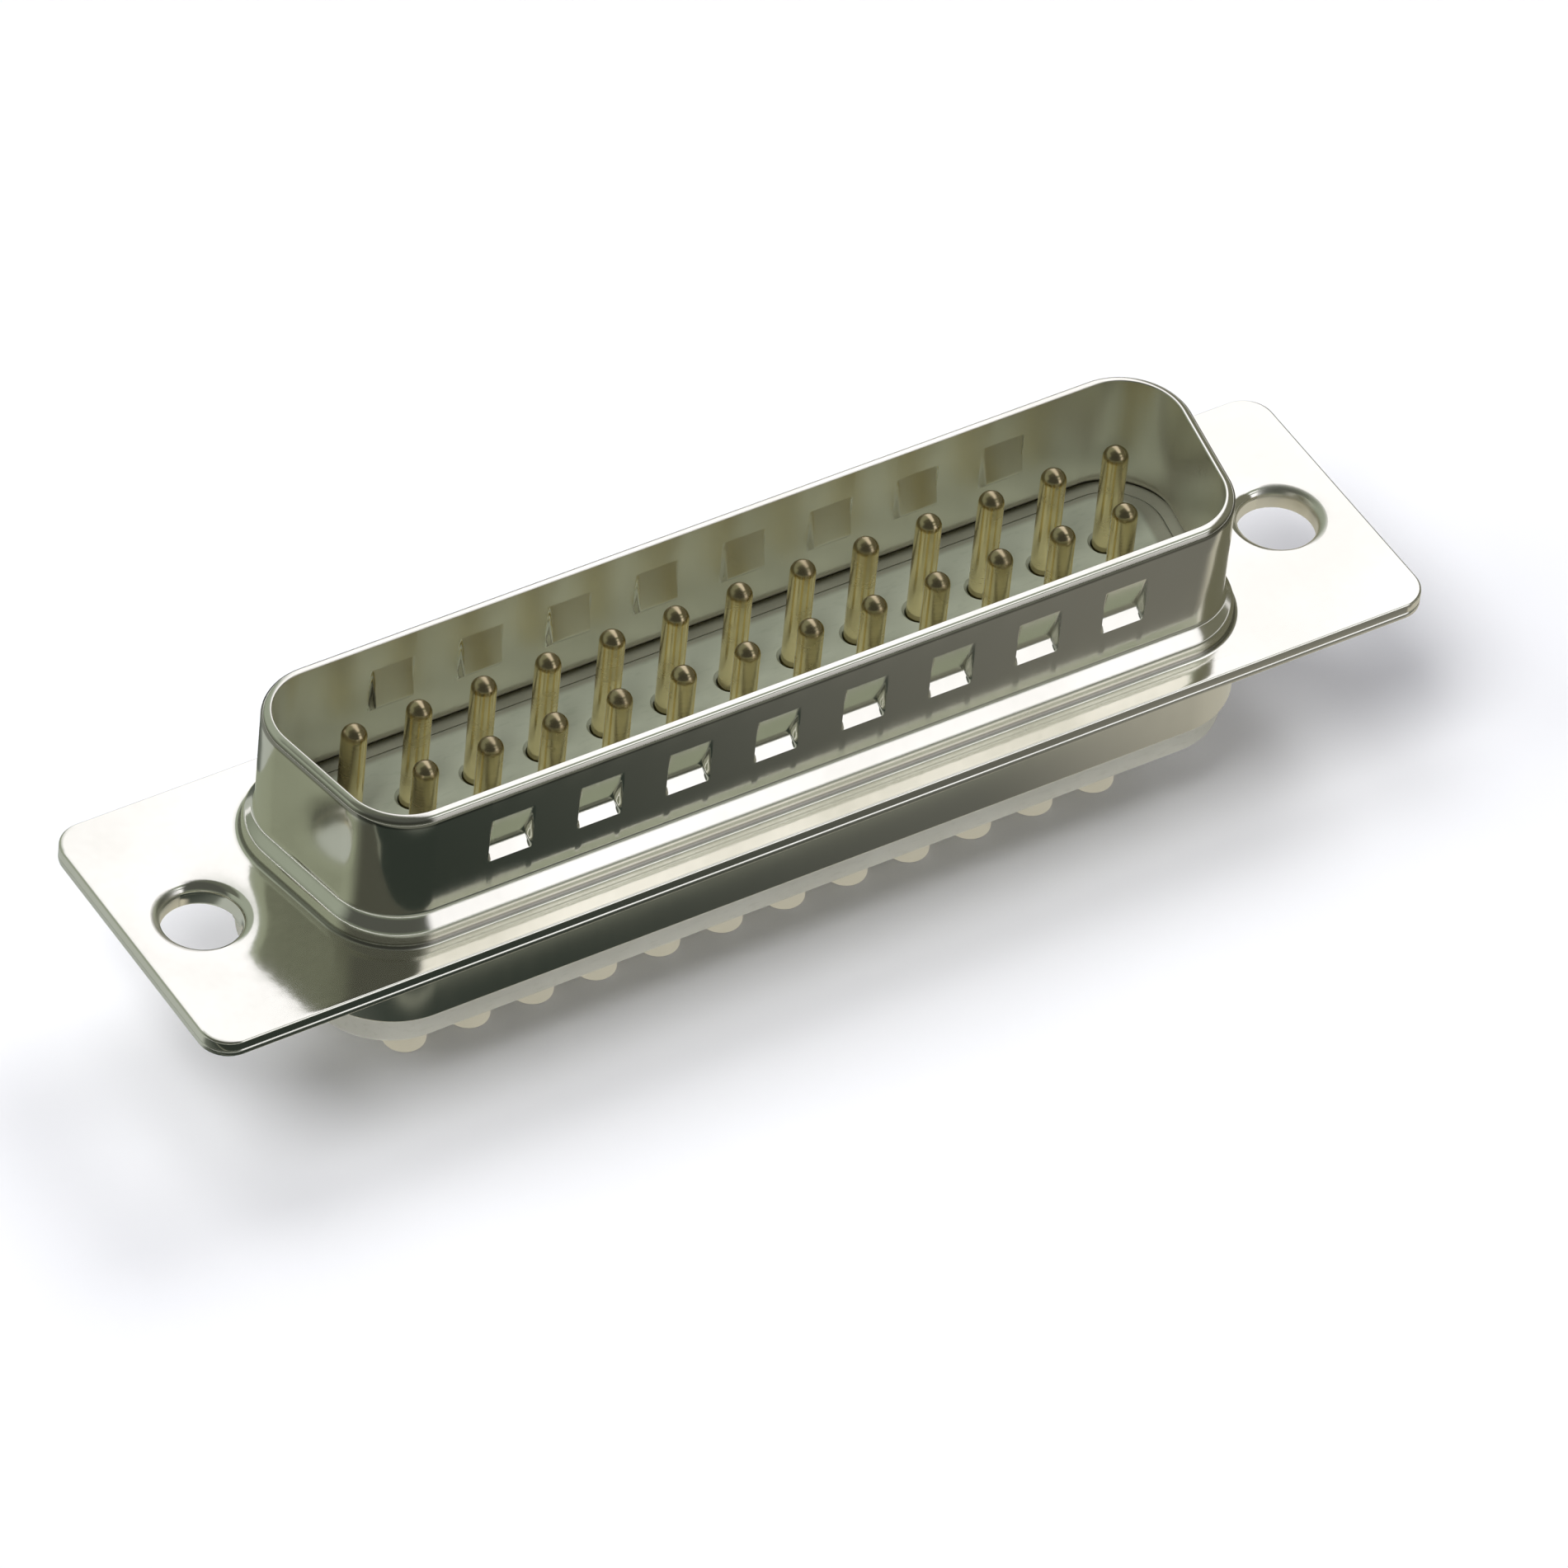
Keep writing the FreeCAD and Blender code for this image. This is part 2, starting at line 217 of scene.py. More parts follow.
# %% Sums on sockets
class Flow:
    """A socket of a node tree that can be added, multiplied and compared like a number."""

    def __init__(self, tree, socket=None):
        self.tree, self.socket = tree, socket

    def node(self, kind, settings=None, inputs=None, output=0):
        """Adds a node and gives one of its outputs."""
        made = self.tree.nodes.new(kind)
        for name, value in (settings or {}).items():
            setattr(made, name, value)
        for name, value in (inputs or {}).items():
            if isinstance(value, Flow):
                self.tree.links.new(value.socket, made.inputs[name])
            else:
                made.inputs[name].default_value = value
        return Flow(self.tree, made.outputs[output] if made.outputs else None)

    def maths(self, operation, first, second=0.0):
        return self.node("ShaderNodeMath", {"operation": operation}, {0: first, 1: second})

    def __add__(self, other):
        return self.maths("ADD", self, other)

    __radd__ = __add__

    def __sub__(self, other):
        return self.maths("SUBTRACT", self, other)

    def __rsub__(self, other):
        return self.maths("SUBTRACT", other, self)

    def __mul__(self, other):
        return self.maths("MULTIPLY", self, other)

    __rmul__ = __mul__

    def __truediv__(self, other):
        return self.maths("DIVIDE", self, other)

    def __neg__(self):
        return self.maths("SUBTRACT", 0.0, self)

    def __abs__(self):
        return self.maths("ABSOLUTE", self)

    def root(self):
        return self.maths("SQRT", self)

    def sign(self):
        return self.maths("SIGN", self)

    def at_least(self, low):
        return self.maths("MAXIMUM", self, low)

    def below(self, limit):
        """1 where the value is under the limit, 0 elsewhere."""
        return self.maths("LESS_THAN", self, limit)

    def fade(self, start, end):
        """0 at start and before, 1 at end and beyond, with a soft change between them."""
        return self.node("ShaderNodeMapRange", {"interpolation_type": "SMOOTHSTEP"},
                         {"Value": self, "From Min": start, "From Max": end})

    def band(self, rise, fall):
        """1 between the rise and the fall, each a (start, end), and 0 before and after them."""
        return self.fade(*rise) * (1 - self.fade(*fall))

    def parts(self):
        """The x, y and z of a vector."""
        made = self.node("ShaderNodeSeparateXYZ", inputs={0: self})
        return [Flow(self.tree, s) for s in made.socket.node.outputs]


sums = [name.strip("_") for name, made in vars(Flow).items() if name.startswith("__") and callable(made)]
print("Flow overloads:", ", ".join(name for name in sums if name != "init"))

# %% [markdown]
# A geometry node tree is a recipe with named inputs. This helper makes an empty recipe with
# its inputs, and another one runs it on an object, keeps the result as a plain mesh and
# removes the modifier, because the export can't carry live instances.

# %% Recipes for geometry
def recipe(name, inputs):
    """An empty geometry node tree with number inputs. Gives the tree and a Flow for each input."""
    tree = bpy.data.node_groups.new(name, "GeometryNodeTree")
    tree.interface.new_socket("Geometry", in_out="INPUT", socket_type="NodeSocketGeometry")
    for label, kind in inputs.items():
        tree.interface.new_socket(label, in_out="INPUT", socket_type=kind)
    tree.interface.new_socket("Geometry", in_out="OUTPUT", socket_type="NodeSocketGeometry")
    entry = tree.nodes.new("NodeGroupInput")
    return tree, [Flow(tree, entry.outputs[i]) for i in range(1 + len(inputs))]


def serve(tree, geometry, material):
    """Ends a recipe: real geometry, one material, and the output."""
    start = Flow(tree)
    real = start.node("GeometryNodeRealizeInstances", inputs={0: geometry})
    dressed = start.node("GeometryNodeSetMaterial", inputs={"Geometry": real, "Material": material})
    end = tree.nodes.new("NodeGroupOutput")
    tree.links.new(dressed.socket, end.inputs[0])


def bake(obj, tree, values, name):
    """Runs the recipe on an object with the given input values and keeps the result as a mesh."""
    modifier = obj.modifiers.new(tree.name, "NODES")
    modifier.node_group = tree
    for item in tree.interface.items_tree:
        if item.in_out == "INPUT" and item.name in values:
            modifier[item.identifier] = values[item.name]
    bpy.context.view_layer.update()
    result = obj.evaluated_get(bpy.context.evaluated_depsgraph_get())
    mesh = bpy.data.meshes.new_from_object(result)
    mesh.name = name
    obj.modifiers.remove(modifier)
    print(name, "baked with", len(mesh.vertices), "points")
    return mesh


# %% [markdown]
# Both shells are drawn from tinned steel. Tin plate is bright, but not a perfect mirror: the
# draw leaves faint upright lines, the bath leaves a fine orange peel, and handling leaves
# soft smudges. Two narrow places get painted shade, a darker colour in the bend at the wall's
# foot and on the roll under its rim, and the foot itself is a little duller. A drawn wall also
# leans by a degree or so. That draft is too small to model, but a mirror shows it, so the bump
# falls evenly towards the rim. Everything reads Object coordinates, so it stays put on the part.

# %% Tinned steel
def material(name):
    """A new material with its nodes cleared. Gives the material and an empty Flow."""
    made = bpy.data.materials.new(name)
    made.use_nodes = True
    made.node_tree.nodes.clear()
    return made, Flow(made.node_tree)


def noise(flow, scale, detail=3.0, roughness=0.5, stretch=(1.0, 1.0, 1.0)):
    """Noise in object space, with scale in features per metre and a stretch for each axis."""
    place = flow.node("ShaderNodeTexCoord", output=3)
    spread = flow.node("ShaderNodeMapping", inputs={"Vector": place, "Scale": stretch})
    return flow.node("ShaderNodeTexNoise", inputs={"Vector": spread, "Scale": scale, "Detail": detail,
                                                   "Roughness": roughness})


def blend(flow, factor, first, second):
    """A mix of two colours."""
    mixed = flow.node("ShaderNodeMix", {"data_type": "RGBA"}, {0: factor}, output=2)
    for socket, colour in ((6, first), (7, second)):
        if isinstance(colour, Flow):
            flow.tree.links.new(colour.socket, mixed.socket.node.inputs[socket])
        else:
            mixed.socket.node.inputs[socket].default_value = (*colour, 1)
    return mixed


def surface(flow, values):
    """Ends a material with one principled shader."""
    shader = flow.node("ShaderNodeBsdfPrincipled", inputs=values)
    flow.node("ShaderNodeOutputMaterial", inputs={"Surface": shader})


SMUDGE_SCALE, DRAW_SCALE, PEEL_SCALE = 140, 2600, 900
SHARE_DULL, SHARE_DRAWN = 0.6, 0.2
SMUDGE_DULL, INSIDE_DULL, FOOT_DULL = 0.05, 0.2, 0.12
INSIDE_DEPTH = (1.0, 3.0)
CREASE_RISE, CREASE_FALL, CREASE_SHADE_SHARE = (0.01, 0.05), (0.14, 0.26), 0.8
FOOT_RISE, FOOT_FALL = (0.0, 0.05), (0.50, 0.62)
ROLL_RISE, ROLL_FALL, ROLL_SHADE_SHARE = (0.07, 0.15), (0.34, 0.46), 0.75
BUMP_STRENGTH, BUMP_DEPTH = 0.12, 0.00002
# Painted shade: the dark tone mixed into the foot's bend and the rim's roll.
PAINTED_SHADE_TONE = (0.20, 0.19, 0.15)


def tinned_steel(name, bright, dull, shine, draft_deg):
    """Bright tin over drawn steel, duller on the sides that face the plug's middle, with painted shade in the
    foot's bend and on the rim's roll.
    """
    made, flow = material(name)
    smudge = noise(flow, SMUDGE_SCALE, detail=4.0).fade(0.38, 0.68)
    drawn = noise(flow, DRAW_SCALE, detail=2.0, stretch=(1.0, 1.0, 0.05))
    peel = noise(flow, PEEL_SCALE, detail=2.0)
    x, y, z = flow.node("ShaderNodeTexCoord", output=3).parts()
    turn_x, turn_y, _ = flow.node("ShaderNodeTexCoord", output=1).parts()
    inside = ((x * turn_x + y * turn_y) / -MM).fade(*INSIDE_DEPTH)
    height = z / MM
    crease = height.band(CREASE_RISE, CREASE_FALL)
    foot = height.band(FOOT_RISE, FOOT_FALL)
    roll = (SHELL_HEIGHT - height).band(ROLL_RISE, ROLL_FALL) * (1 - inside)
    colour = blend(flow, smudge * SHARE_DULL + drawn * SHARE_DRAWN, bright, dull)
    # Painted shade: the bend at the wall's foot and the roll under the rim are darkened.
    colour = blend(flow, crease * CREASE_SHADE_SHARE, colour, PAINTED_SHADE_TONE)
    colour = blend(flow, roll * ROLL_SHADE_SHARE, colour, PAINTED_SHADE_TONE)
    roughness = (shine + smudge * SMUDGE_DULL + drawn * SMUDGE_DULL + inside * INSIDE_DULL
                 + foot * FOOT_DULL)
    lean = z * (-math.tan(math.radians(draft_deg)) / (BUMP_STRENGTH * BUMP_DEPTH)) * (1 - inside)
    bump = flow.node("ShaderNodeBump", inputs={"Strength": BUMP_STRENGTH, "Distance": BUMP_DEPTH,
                                               "Height": drawn * 0.6 + peel * 0.4 + lean})
    surface(flow, {"Base Color": colour, "Metallic": 1.0, "Roughness": roughness, "Normal": bump})
    return made


front_tin = tinned_steel("front_shell_tin", bright=(0.89, 0.87, 0.78), dull=(0.82, 0.80, 0.70),
                         shine=0.07, draft_deg=1.5)
rear_tin = tinned_steel("rear_shell_tin", bright=(0.86, 0.845, 0.77), dull=(0.76, 0.745, 0.67),
                        shine=0.12, draft_deg=0.0)
print("Shell finishes:", front_tin.name, rear_tin.name)

# %% [markdown]
# The insulators are glass-filled mouldings, the rear one paler than the front one: the front
# one's darker colour is partly a greener tone and partly painted shade for its place inside the
# shell. The short fibres show as a fine mottle, and the mould left a slightly dry surface, so the
# roughness is high and uneven. A painted shade darkens a band along the seam between the front
# one and its shell.

# %% Moulded plastic
CLOUD_SCALE, FIBRE_SCALE, GRAIN_SCALE = 260, 5200, 9000
SEAM_SHADE_TONE, SEAM_INSET = (0.20, 0.19, 0.14), (0.35, 0.65)
PLASTIC_BUMP = {"Strength": 0.25, "Distance": 0.00002}


def seam_band(flow):
    """1 on a narrow band along the inside of the front shell, 0 further in."""
    x, y, _ = flow.node("ShaderNodeTexCoord", output=3).parts()
    along = abs(x) / MM + (D_WIDTH / 2 - y / MM) * math.tan(D_SLANT) - (D_LENGTH / 2 - D_CORNER_R)
    across = abs(y) / MM - (D_WIDTH / 2 - D_CORNER_R)
    along, across = along.at_least(0), across.at_least(0)
    inset = D_CORNER_R - (along * along + across * across).root()
    return 1 - inset.fade(*SEAM_INSET)


def moulded(name, pale, deep, seam_shade):
    """Glass-filled moulding, with painted shade along the seam with the shell."""
    made, flow = material(name)
    cloud = noise(flow, CLOUD_SCALE, detail=3.0).fade(0.35, 0.7)
    fibre = noise(flow, FIBRE_SCALE, detail=2.0, stretch=(0.35, 1.0, 1.0))
    grain = noise(flow, GRAIN_SCALE, detail=2.0)
    colour = blend(flow, cloud * 0.5 + fibre.fade(0.52, 0.75) * 0.4, pale, deep)
    if seam_shade:
        # Painted shade: the band along the shell's seam is darkened.
        colour = blend(flow, seam_band(flow) * seam_shade, colour, SEAM_SHADE_TONE)
    bump = flow.node("ShaderNodeBump", inputs={**PLASTIC_BUMP, "Height": grain * 0.6 + fibre * 0.4})
    surface(flow, {"Base Color": colour, "Roughness": 0.42 + cloud * 0.1 + grain * 0.08, "Normal": bump,
                   "Specular IOR Level": 0.4})
    return made


# The front colours are darker, partly as painted shade for the inside of the shell.
front_plastic = moulded("front_insulator_shaded_plastic", pale=(0.43, 0.46, 0.36), deep=(0.35, 0.38, 0.29),
                        seam_shade=0.7)
rear_plastic = moulded("rear_insulator_plastic", pale=(0.66, 0.65, 0.54), deep=(0.55, 0.54, 0.43),
                       seam_shade=0)
print("Insulator finishes:", front_plastic.name, rear_plastic.name)

# %% [markdown]
# The contacts are turned brass with a thin flash of gold. The lathe leaves rings round
# them, so the bump and the roughness change along the contact's height. The barrels are
# not dipped and stay pale, and the tips of the pins are painted darker, a painted shade for the dark things
# they mirror.

# %% Gold flash on turned brass
WEAR_SCALE, TURNING_SCALE = 700, 900
BARE_BELOW, TIP_DARK_ABOVE, TIP_DARK_SHARE = (4.6, 5.6), (4.9, 5.15), 0.6
TIP_SHADE_TONE = (0.20, 0.15, 0.09)
BRASS_BUMP = {"Strength": 0.2, "Distance": 0.00002}


def gold_flash(name, bright, worn, plain):
    """A thin gold flash over turned brass, with paler, undipped barrels."""
    made, flow = material(name)
    wear = noise(flow, WEAR_SCALE, detail=3.0).fade(0.4, 0.7)
    turning = noise(flow, TURNING_SCALE, detail=2.0, stretch=(0.3, 0.3, 12.0))
    height = flow.node("ShaderNodeTexCoord", output=3).parts()[2] / MM
    bare = (-height + wear * 0.4).fade(*BARE_BELOW)
    colour = blend(flow, wear * 0.7 + turning * 0.2, bright, worn)
    colour = blend(flow, bare, colour, plain)
    # Painted shade: the pin tips are darkened.
    colour = blend(flow, height.fade(*TIP_DARK_ABOVE) * TIP_DARK_SHARE, colour, TIP_SHADE_TONE)
    bump = flow.node("ShaderNodeBump", inputs={**BRASS_BUMP, "Height": turning})
    roughness = 0.16 + wear * 0.1 + turning * 0.08 + bare * 0.2
    surface(flow, {"Base Color": colour, "Metallic": 1.0, "Roughness": roughness, "Normal": bump})
    return made


contact_gold = gold_flash("contact_gold", bright=(0.95, 0.82, 0.50), worn=(0.76, 0.65, 0.39),
                          plain=(0.83, 0.82, 0.77))
print("Contact finish:", contact_gold.name)

# %% [markdown]
# The mating wall is the plug's hardest piece: one sheet that bends out of the flange, steps
# in over the insulator's foot, rises as a D and ends in a rounded rim. Its shape follows a
# rule, so geometry nodes make it: a section mesh is carried along the D by Curve to Mesh.
# A finer path is drawn where the dimples will be pressed, and coarse elsewhere.

# %% Path and section of the wall
DIMPLE_COUNT, DIMPLE_PITCH, DIMPLE_WIDTH, DIMPLE_DEPTH = 8, 3.8, 1.75, 0.35
DIMPLE_TOP_Z, DIMPLE_NOSE_Z, DIMPLE_BOTTOM_Z = 4.78, 3.12, 2.68
DIMPLE_SIDE, DIMPLE_NOSE_SOFT = 0.07, 0.3
FOOT_STEP, FOOT_TOP_Z, FOOT_SHOULDER_Z = 0.45, 1.14, 0.63
NECK_BEND_R, SHOULDER_BEND_R, FOOT_BEND_R, FOOT_LANDING = 0.5, 0.15, 0.2, 0.15
RIM_INNER_R, RIM_OUTER_R = 0.05, 0.35
CORNER_STEPS, QUARTERS = 22, (0.25, 0.5, 0.75)
DIMPLE_COLUMNS = (-3, -1.5, -1, -0.5, 0, 0.5, 1, 1.5)
DIMPLE_END_ROW, DIMPLE_NOSE_ROW = 0.05, 0.04
SAME_PLACE = 1e-6


def slope_drop(sheet):
    """How much lower the inner side of the foot's slope lies than its outer side."""
    rise = FOOT_TOP_Z - FOOT_SHOULDER_Z
    return sheet * (math.hypot(FOOT_STEP, rise) - rise) / FOOT_STEP


def wall_section():
    """The front shell's sheet from the flange's top, over the rim, to the flange's underside."""
    wide = FRONT_SHEET + FOOT_STEP
    landing = wide + FOOT_BEND_R + FOOT_LANDING
    drop = slope_drop(FRONT_SHEET)
    return section([(landing, 0, 0), (wide, 0, FOOT_BEND_R),
                    (wide, FOOT_SHOULDER_Z, SHOULDER_BEND_R + FRONT_SHEET),
                    (FRONT_SHEET, FOOT_TOP_Z, NECK_BEND_R), (FRONT_SHEET, SHELL_HEIGHT, RIM_OUTER_R),
                    (0, SHELL_HEIGHT, RIM_INNER_R), (0, FOOT_TOP_Z - drop, NECK_BEND_R + FRONT_SHEET),
                    (FOOT_STEP, FOOT_SHOULDER_Z - drop, SHOULDER_BEND_R),
                    (FOOT_STEP, JOINT_Z, FOOT_BEND_R + FRONT_SHEET), (landing, JOINT_Z, 0)])


def with_rows(points, heights):
    """Adds points at those heights on the long upright runs of a section."""
    result = [points[0]]
    for (x0, z0), (x1, z1) in zip(points, points[1:]):
        if abs(x1 - x0) < SAME_PLACE and abs(z1 - z0) > DIMPLE_TOP_Z - DIMPLE_BOTTOM_Z:
            inside = [z for z in heights if min(z0, z1) < z < max(z0, z1)]
            result.extend((x0, z) for z in sorted(inside, reverse=z1 < z0))
        result.append((x1, z1))
    return result


def dimple_stations(start_x, end_x):
    """Where a side's columns stand, as fractions: close together at each dimple's two ends."""
    if abs(end_x - start_x) < D_LENGTH / 2:
        return QUARTERS
    xs = []
    for i in range(DIMPLE_COUNT):
        centre = (i - (DIMPLE_COUNT - 1) / 2) * DIMPLE_PITCH
        for side in (-1, 1):
            edge = centre + side * DIMPLE_WIDTH / 2
            xs += [edge + side * DIMPLE_SIDE * k for k in DIMPLE_COLUMNS]
        xs += [centre, centre + DIMPLE_PITCH / 2]
    return sorted((x - start_x) / (end_x - start_x) for x in xs if abs(x) < abs(start_x) - DIMPLE_SIDE)


dimple_rows = [z + DIMPLE_END_ROW * k for z in (DIMPLE_TOP_Z, DIMPLE_BOTTOM_Z) for k in (-1, 0, 1)]
dimple_rows += [DIMPLE_NOSE_Z + DIMPLE_NOSE_ROW * k for k in range(-6, 9)]
dimple_rows += [DIMPLE_NOSE_Z + (DIMPLE_TOP_Z - DIMPLE_NOSE_Z) * k / 5 for k in (2, 3, 4)]
wall_rows = with_rows(wall_section(), dimple_rows)
wall_columns = around(d_corners(), CORNER_STEPS, dimple_stations)
print("Wall:", len(wall_columns), "columns and", len(wall_rows), "rows")

# %% [markdown]
# The dimples are pressed by the same tree: a point near a dimple moves towards the inside by
# the depth of a wedge-nosed punch, which slopes in gently from above and steeply from below.
# The inner and the outer side of the sheet move together, so the wall keeps its thickness,
# as pressed sheet does.

# %% Dimpled wall recipe
def path_object(name, points, closed):
    """A wire object through points in millimetres."""
    mesh = bpy.data.meshes.new(name)
    count = len(points)
    edges = [(i, (i + 1) % count) for i in range(count if closed else count - 1)]
    mesh.from_pydata([Vector(p) * MM for p in points], edges, [])
    obj = bpy.data.objects.new(name, mesh)
    bpy.context.scene.collection.objects.link(obj)
    return obj


def wall_recipe(metal):
    """Carries the section object round the path and presses the dimples."""
    number = "NodeSocketFloat"
    tree, (path, profile, pitch, width, depth, top, nose, bottom, side) = recipe("dimpled wall", {
        "Section": "NodeSocketObject", "Dimple Pitch": number, "Dimple Width": number,
        "Dimple Depth": number, "Dimple Top": number, "Dimple Nose": number, "Dimple Bottom": number,
        "Dimple Side": number})
    f = Flow(tree)
    rail = f.node("GeometryNodeMeshToCurve", inputs={0: path})
    rail = f.node("GeometryNodeSetCurveNormal", {"mode": "Z_UP"}, {"Curve": rail})
    shape = f.node("GeometryNodeObjectInfo", inputs={"Object": profile})
    shape = Flow(tree, shape.socket.node.outputs["Geometry"])
    shape = f.node("GeometryNodeMeshToCurve", inputs={0: shape})
    wall = f.node("GeometryNodeCurveToMesh", inputs={"Curve": rail, "Profile Curve": shape})
    x, y, z = f.node("GeometryNodeInputPosition").parts()
    centre_gap = abs(f.maths("FRACT", x / pitch + DIMPLE_COUNT) - 0.5) * pitch
    across = 1 - centre_gap.fade(width * 0.5 - side, width * 0.5 + side)
    in_field = abs(x).below(pitch * (DIMPLE_COUNT / 2))
    wedge = f.node("ShaderNodeMath", {"operation": "SMOOTH_MIN"}, {
        0: (top - z) / (top - nose), 1: (z - bottom) / (nose - bottom), 2: DIMPLE_NOSE_SOFT})
    push = wedge.at_least(0.0) * depth * across * in_field * y.sign()
    shift = f.node("ShaderNodeCombineXYZ", inputs={"Y": -push})
    pressed = f.node("GeometryNodeSetPosition", inputs={"Geometry": wall, "Offset": shift})
    serve(tree, pressed, metal)
    return tree


wall_path = path_object("wall_path", [(x + dx * D_CORNER_R, y + dy * D_CORNER_R, 0)
                                      for x, y, dx, dy in wall_columns], True)
wall_profile = path_object("wall_profile", [(x, -z, 0) for x, z in wall_rows], False)
wall_mesh = bake(wall_path, wall_recipe(front_tin), {
    "Section": wall_profile, "Dimple Pitch": DIMPLE_PITCH * MM, "Dimple Width": DIMPLE_WIDTH * MM,
    "Dimple Depth": DIMPLE_DEPTH * MM, "Dimple Top": DIMPLE_TOP_Z * MM, "Dimple Nose": DIMPLE_NOSE_Z * MM,
    "Dimple Bottom": DIMPLE_BOTTOM_Z * MM, "Dimple Side": DIMPLE_SIDE * MM}, "mating_wall")
heights = [v.co.z / MM for v in wall_mesh.vertices]
print("Wall from", round(min(heights), 3), "to", round(max(heights), 3), "mm")

# %% [markdown]
# The flange is flat, with a D opening that meets the wall's bends and two mounting holes.
# Each hole is a drawn collar: its lead curves in from the front, and its end is flared
# over the back of the rear shell, which is what holds the two shells together.

# %% Front shell
COLLAR_LEAD_R, COLLAR_BACK_BEND_R, COLLAR_NECK_BEND_R = 0.4, 0.1, 0.05
COLLAR_FLARE_D, COLLAR_FLARE_THICK, COLLAR_FLARE_R, COLLAR_LANDING = 4.7, 0.3, 0.2, 0.3
FLANGE_EDGE_R, FLANGE_LANDING, SEAM_EDGE_R = 0.08, 0.2, 0.03
EDGE_STEPS, HOLE_STEPS, FLANGE_CORNER_STEPS = 4, 64, 10


def open_loops(mesh):
    """The open edge loops of a mesh, as lists of points in millimetres, lowest loop first."""
    bm = bmesh.new()
    bm.from_mesh(mesh)
    rim = {e for e in bm.edges if e.is_boundary}
    loops = []
    while rim:
        edge = rim.pop()
        chain = list(edge.verts)
        while True:
            ahead = [e for e in chain[-1].link_edges if e in rim]
            if not ahead:
                break
            rim.discard(ahead[0])
            chain.append(ahead[0].other_vert(chain[-1]))
        loops.append([v.co / MM for v in chain[:-1]])
    bm.free()
    return sorted(loops, key=lambda loop: loop[0].z)


def collar_section():
    """A collar from the flange's top, down its bore, round its flare, to the flange's underside."""
    bore_r = HOLE_D / 2
    tube_r = bore_r + FRONT_SHEET
    landing_r = tube_r + COLLAR_LEAD_R + COLLAR_LANDING
    flare_z = PLATE_BACK - COLLAR_FLARE_THICK
    edge_r = COLLAR_FLARE_THICK / 3
    return section([(landing_r, 0, 0), (bore_r, 0, COLLAR_LEAD_R), (bore_r, flare_z, COLLAR_FLARE_R),
                    (COLLAR_FLARE_D / 2, flare_z, edge_r), (COLLAR_FLARE_D / 2, PLATE_BACK, 0),
                    (tube_r, PLATE_BACK, COLLAR_NECK_BEND_R), (tube_r, JOINT_Z, COLLAR_BACK_BEND_R),
                    (landing_r, JOINT_Z, 0)])


def no_stations(start_x, end_x):
    """A straight side without columns between its corners."""
    return []


flange_columns = around(plate_corners(), FLANGE_CORNER_STEPS, no_stations)


def add_flange(skin, edge_rows, hole_rows, openings):
    """Adds a flange's edge, its two holes and its two flat sides, each round its D opening."""
    edges = skin.strip(flange_columns, edge_rows, FLANGE_CORNER_R)
    holes = [skin.strip(ring(side * HOLE_SPACING / 2, 0, HOLE_STEPS), hole_rows) for side in (-1, 1)]
    for k, opening in enumerate(openings):
        skin.cap(edges[k], opening, *[hole[k] for hole in holes])


skin = Skin()
skin.take(wall_mesh)
under_d, over_d = open_loops(wall_mesh)
front_edge = section([(-FLANGE_LANDING, 0, 0), (0, 0, FLANGE_EDGE_R), (0, JOINT_Z, SEAM_EDGE_R),
                      (-FLANGE_LANDING, JOINT_Z, 0)], EDGE_STEPS)
add_flange(skin, front_edge, collar_section(), (over_d, under_d))
front_shell = keep_flats(skin.piece("front_shell_skin"))
front_shell.data.materials.append(front_tin)
for helper in (wall_path, wall_profile):
    bpy.data.objects.remove(helper)

# %% [markdown]
# The rear shell is thinner. Its flange lies against the front one, and a shallow skirt
# runs down from it round the rear insulator. The upper edge of its blank is rolled over
# by the punch, and that small round catches the light along the seam between the shells.

# %% Rear shell
SKIRT_WIDTH, SKIRT_DEPTH, SKIRT_EDGE_R, SKIRT_BEND_R, SKIRT_LANDING = 10.72, 3.6, 0.08, 0.2, 0.15
ROLLED_EDGE_R, SEAT_FIT = 0.11, 0.05


def skirt_section():
    """The rear sheet from its flange's back, down the skirt and up its inside."""
    outside = (SKIRT_WIDTH - D_WIDTH) / 2
    inside = outside - REAR_SHEET
    landing = outside + SKIRT_BEND_R + SKIRT_LANDING
    return section([(landing, PLATE_BACK, 0), (outside, PLATE_BACK, SKIRT_BEND_R),
                    (outside, -SKIRT_DEPTH, SKIRT_EDGE_R), (inside, -SKIRT_DEPTH, SKIRT_EDGE_R),
                    (inside, JOINT_Z, SKIRT_BEND_R + REAR_SHEET), (landing, JOINT_Z, 0)])


def plain_stations(start_x, end_x):
    """A few columns along each side."""
    return QUARTERS


smooth_d = around(d_corners(), CORNER_STEPS, plain_stations)
skin = Skin()
back_d, seam_d = skin.strip(smooth_d, skirt_section(), D_CORNER_R)
rear_edge = section([(-FLANGE_LANDING, JOINT_Z, 0), (0, JOINT_Z, ROLLED_EDGE_R),
                     (0, PLATE_BACK, FLANGE_EDGE_R), (-FLANGE_LANDING, PLATE_BACK, 0)], EDGE_STEPS)
hole_r = HOLE_D / 2 + FRONT_SHEET + SEAT_FIT
add_flange(skin, rear_edge, [(hole_r, JOINT_Z), (hole_r, PLATE_BACK)], (seam_d, back_d))
rear_shell = keep_flats(skin.piece("rear_shell_skin"))
rear_shell.data.materials.append(rear_tin)

# %% [markdown]
# Two mouldings hold the contacts. Each is a D-shaped block with a round hole for every
# contact, so its end faces are caps with 25 holes and each hole has its own strip.
# The front one carries a small lead-in round every pin, which shows as a fine ring.

